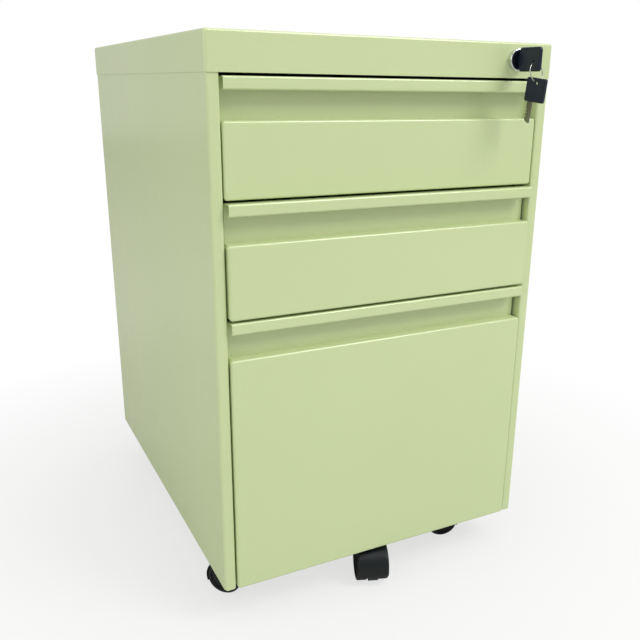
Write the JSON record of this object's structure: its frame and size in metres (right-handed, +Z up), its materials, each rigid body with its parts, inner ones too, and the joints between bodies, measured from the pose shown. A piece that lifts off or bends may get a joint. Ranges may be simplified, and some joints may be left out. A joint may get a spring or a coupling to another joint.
{
  "type": "mobile pedestal",
  "caption": "Folded sheet-steel under-desk pedestal on twin-wheel castors: two box drawers over a file drawer with full-width recessed finger pulls, a capped top and a front lock with keys.",
  "frame": {"origin": "on the floor, at the middle of the bounding box's base", "axes": "+Z up; the drawers open towards -Y; +X is to the right of a person facing the drawers"},
  "size_m": [0.3918, 0.5496, 0.618],
  "materials": {
    "powder_coated_steel": "satin",
    "zinc_plated_steel": "satin",
    "polished_chrome": "polished",
    "nickel_plated_steel": "polished",
    "black_gloss_plastic": "gloss",
    "black_grip_plastic": "satin",
    "black_nylon": "satin",
    "black_tread": "matt"
  },
  "bodies": {
    "cabinet": {"top_cap": "powder_coated_steel", "side_panel_right": "powder_coated_steel", "side_panel_left": "powder_coated_steel", "back_panel": "powder_coated_steel", "base_plate": "powder_coated_steel", "front_rail": "powder_coated_steel", "slide_carrier_right": "powder_coated_steel", "slide_carrier_left": "powder_coated_steel", "lock_housing": "polished_chrome", "drawer_1_cabinet_rail_right": "zinc_plated_steel", "drawer_1_cabinet_rail_left": "zinc_plated_steel", "drawer_2_cabinet_rail_right": "zinc_plated_steel", "drawer_2_cabinet_rail_left": "zinc_plated_steel", "drawer_3_cabinet_rail_right": "zinc_plated_steel", "drawer_3_cabinet_rail_left": "zinc_plated_steel", "castor_front_left_plate": "zinc_plated_steel", "castor_front_right_plate": "zinc_plated_steel", "castor_rear_left_plate": "zinc_plated_steel", "castor_rear_right_plate": "zinc_plated_steel"},
    "drawer_1": {"drawer_1_front": "powder_coated_steel", "drawer_1_tray": "powder_coated_steel", "drawer_1_catch": "powder_coated_steel", "drawer_1_drawer_rail_right": "zinc_plated_steel", "drawer_1_drawer_rail_left": "zinc_plated_steel"},
    "drawer_2": {"drawer_2_front": "powder_coated_steel", "drawer_2_tray": "powder_coated_steel", "drawer_2_catch": "powder_coated_steel", "drawer_2_drawer_rail_right": "zinc_plated_steel", "drawer_2_drawer_rail_left": "zinc_plated_steel"},
    "drawer_3": {"drawer_3_front": "powder_coated_steel", "drawer_3_tray": "powder_coated_steel", "drawer_3_catch": "powder_coated_steel", "drawer_3_drawer_rail_right": "zinc_plated_steel", "drawer_3_drawer_rail_left": "zinc_plated_steel", "castor_bracket": "powder_coated_steel", "castor_fifth_plate": "zinc_plated_steel"},
    "drawer_3_middle_rails": {"drawer_3_middle_rail_right": "zinc_plated_steel", "drawer_3_middle_rail_left": "zinc_plated_steel"},
    "lock_cylinder": {"lock_plug": "black_gloss_plastic", "key_bow": "black_grip_plastic", "key_blade": "nickel_plated_steel"},
    "lock_bar": {"lock_bar": "zinc_plated_steel"},
    "key_ring": {"key_ring": "nickel_plated_steel"},
    "spare_key": {"spare_key_bow": "black_grip_plastic", "spare_key_blade": "nickel_plated_steel"},
    "castor_front_left": {"castor_front_left_hood": "black_nylon"},
    "castor_front_left_wheel_a": {"castor_front_left_wheel_a": "black_tread"},
    "castor_front_left_wheel_b": {"castor_front_left_wheel_b": "black_tread"},
    "castor_front_right": {"castor_front_right_hood": "black_nylon"},
    "castor_front_right_wheel_a": {"castor_front_right_wheel_a": "black_tread"},
    "castor_front_right_wheel_b": {"castor_front_right_wheel_b": "black_tread"},
    "castor_rear_left": {"castor_rear_left_hood": "black_nylon"},
    "castor_rear_left_wheel_a": {"castor_rear_left_wheel_a": "black_tread"},
    "castor_rear_left_wheel_b": {"castor_rear_left_wheel_b": "black_tread"},
    "castor_rear_right": {"castor_rear_right_hood": "black_nylon"},
    "castor_rear_right_wheel_a": {"castor_rear_right_wheel_a": "black_tread"},
    "castor_rear_right_wheel_b": {"castor_rear_right_wheel_b": "black_tread"},
    "castor_fifth": {"castor_fifth_hood": "black_nylon"},
    "castor_fifth_wheel_a": {"castor_fifth_wheel_a": "black_tread"},
    "castor_fifth_wheel_b": {"castor_fifth_wheel_b": "black_tread"}
  },
  "joints": [
    {"name": "drawer_1_slide", "type": "slide", "parent": "cabinet", "child": "drawer_1", "axis": [0, -1, 0], "range_m": [0, 0.386]},
    {"name": "drawer_2_slide", "type": "slide", "parent": "cabinet", "child": "drawer_2", "axis": [0, -1, 0], "range_m": [-0.005, 0.36]},
    {"name": "drawer_3_slide", "type": "slide", "parent": "cabinet", "child": "drawer_3", "axis": [0, -1, 0], "range_m": [-0.003, 0.427]},
    {"name": "drawer_3_middle_slide", "type": "slide", "parent": "cabinet", "child": "drawer_3_middle_rails", "axis": [0, -1, 0], "range_m": [-0.0015, 0.2135]},
    {"name": "lock_turn", "type": "hinge", "parent": "cabinet", "child": "lock_cylinder", "pos_m": [0.1471, -0.21704, 0.6005], "axis": [0, 1, 0], "range_deg": [0, 90]},
    {"name": "lock_bar_slide", "type": "slide", "parent": "cabinet", "child": "lock_bar", "axis": [0, 0, -1], "range_m": [0, 0.0068]},
    {"name": "key_ring_swing", "type": "hinge", "parent": "lock_cylinder", "child": "key_ring", "pos_m": [0.1471, -0.25764, 0.5971], "axis": [0.9863, 0.165, 0], "range_deg": [-30, 13.7]},
    {"name": "spare_key_swing", "type": "hinge", "parent": "key_ring", "child": "spare_key", "pos_m": [0.14786, -0.26217, 0.57825], "axis": [0.9863, 0.165, 0], "range_deg": [-30, 2.5]},
    {"name": "castor_front_left_swivel", "type": "hinge", "parent": "cabinet", "child": "castor_front_left", "pos_m": [-0.149, -0.17014, 0.04], "axis": [0, 0, 1], "continuous": true},
    {"name": "castor_front_left_roll_a", "type": "hinge", "parent": "castor_front_left", "child": "castor_front_left_wheel_a", "pos_m": [-0.16545, -0.15479, 0.0205], "axis": [-0.682, -0.7314, 0], "continuous": true},
    {"name": "castor_front_left_roll_b", "type": "hinge", "parent": "castor_front_left", "child": "castor_front_left_wheel_b", "pos_m": [-0.16545, -0.15479, 0.0205], "axis": [-0.682, -0.7314, 0], "continuous": true},
    {"name": "castor_front_right_swivel", "type": "hinge", "parent": "cabinet", "child": "castor_front_right", "pos_m": [0.149, -0.17014, 0.04], "axis": [0, 0, 1], "continuous": true},
    {"name": "castor_front_right_roll_a", "type": "hinge", "parent": "castor_front_right", "child": "castor_front_right_wheel_a", "pos_m": [0.1276, -0.16319, 0.0205], "axis": [-0.309, -0.9511, 0], "continuous": true},
    {"name": "castor_front_right_roll_b", "type": "hinge", "parent": "castor_front_right", "child": "castor_front_right_wheel_b", "pos_m": [0.1276, -0.16319, 0.0205], "axis": [-0.309, -0.9511, 0], "continuous": true},
    {"name": "castor_rear_left_swivel", "type": "hinge", "parent": "cabinet", "child": "castor_rear_left", "pos_m": [-0.149, 0.21986, 0.04], "axis": [0, 0, 1], "continuous": true},
    {"name": "castor_rear_left_roll_a", "type": "hinge", "parent": "castor_rear_left", "child": "castor_rear_left_wheel_a", "pos_m": [-0.12786, 0.22756, 0.0205], "axis": [-0.342, 0.9397, 0], "continuous": true},
    {"name": "castor_rear_left_roll_b", "type": "hinge", "parent": "castor_rear_left", "child": "castor_rear_left_wheel_b", "pos_m": [-0.12786, 0.22756, 0.0205], "axis": [-0.342, 0.9397, 0], "continuous": true},
    {"name": "castor_rear_right_swivel", "type": "hinge", "parent": "cabinet", "child": "castor_rear_right", "pos_m": [0.149, 0.21986, 0.04], "axis": [0, 0, 1], "continuous": true},
    {"name": "castor_rear_right_roll_a", "type": "hinge", "parent": "castor_rear_right", "child": "castor_rear_right_wheel_a", "pos_m": [0.12932, 0.23077, 0.0205], "axis": [-0.4848, -0.8746, 0], "continuous": true},
    {"name": "castor_rear_right_roll_b", "type": "hinge", "parent": "castor_rear_right", "child": "castor_rear_right_wheel_b", "pos_m": [0.12932, 0.23077, 0.0205], "axis": [-0.4848, -0.8746, 0], "continuous": true},
    {"name": "castor_fifth_swivel", "type": "hinge", "parent": "drawer_3", "child": "castor_fifth", "pos_m": [0, -0.19574, 0.04], "axis": [0, 0, 1], "continuous": true},
    {"name": "castor_fifth_roll_a", "type": "hinge", "parent": "castor_fifth", "child": "castor_fifth_wheel_a", "pos_m": [-0.00769, -0.21688, 0.0205], "axis": [0.9397, -0.342, 0], "continuous": true},
    {"name": "castor_fifth_roll_b", "type": "hinge", "parent": "castor_fifth", "child": "castor_fifth_wheel_b", "pos_m": [-0.00769, -0.21688, 0.0205], "axis": [0.9397, -0.342, 0], "continuous": true}
  ],
  "couplings": [
    {"joint": "drawer_3_middle_slide", "follows": "drawer_3_slide", "ratio": 0.5},
    {"joint": "lock_bar_slide", "follows": "lock_turn", "m_per_rad": 0.0043215}
  ]
}
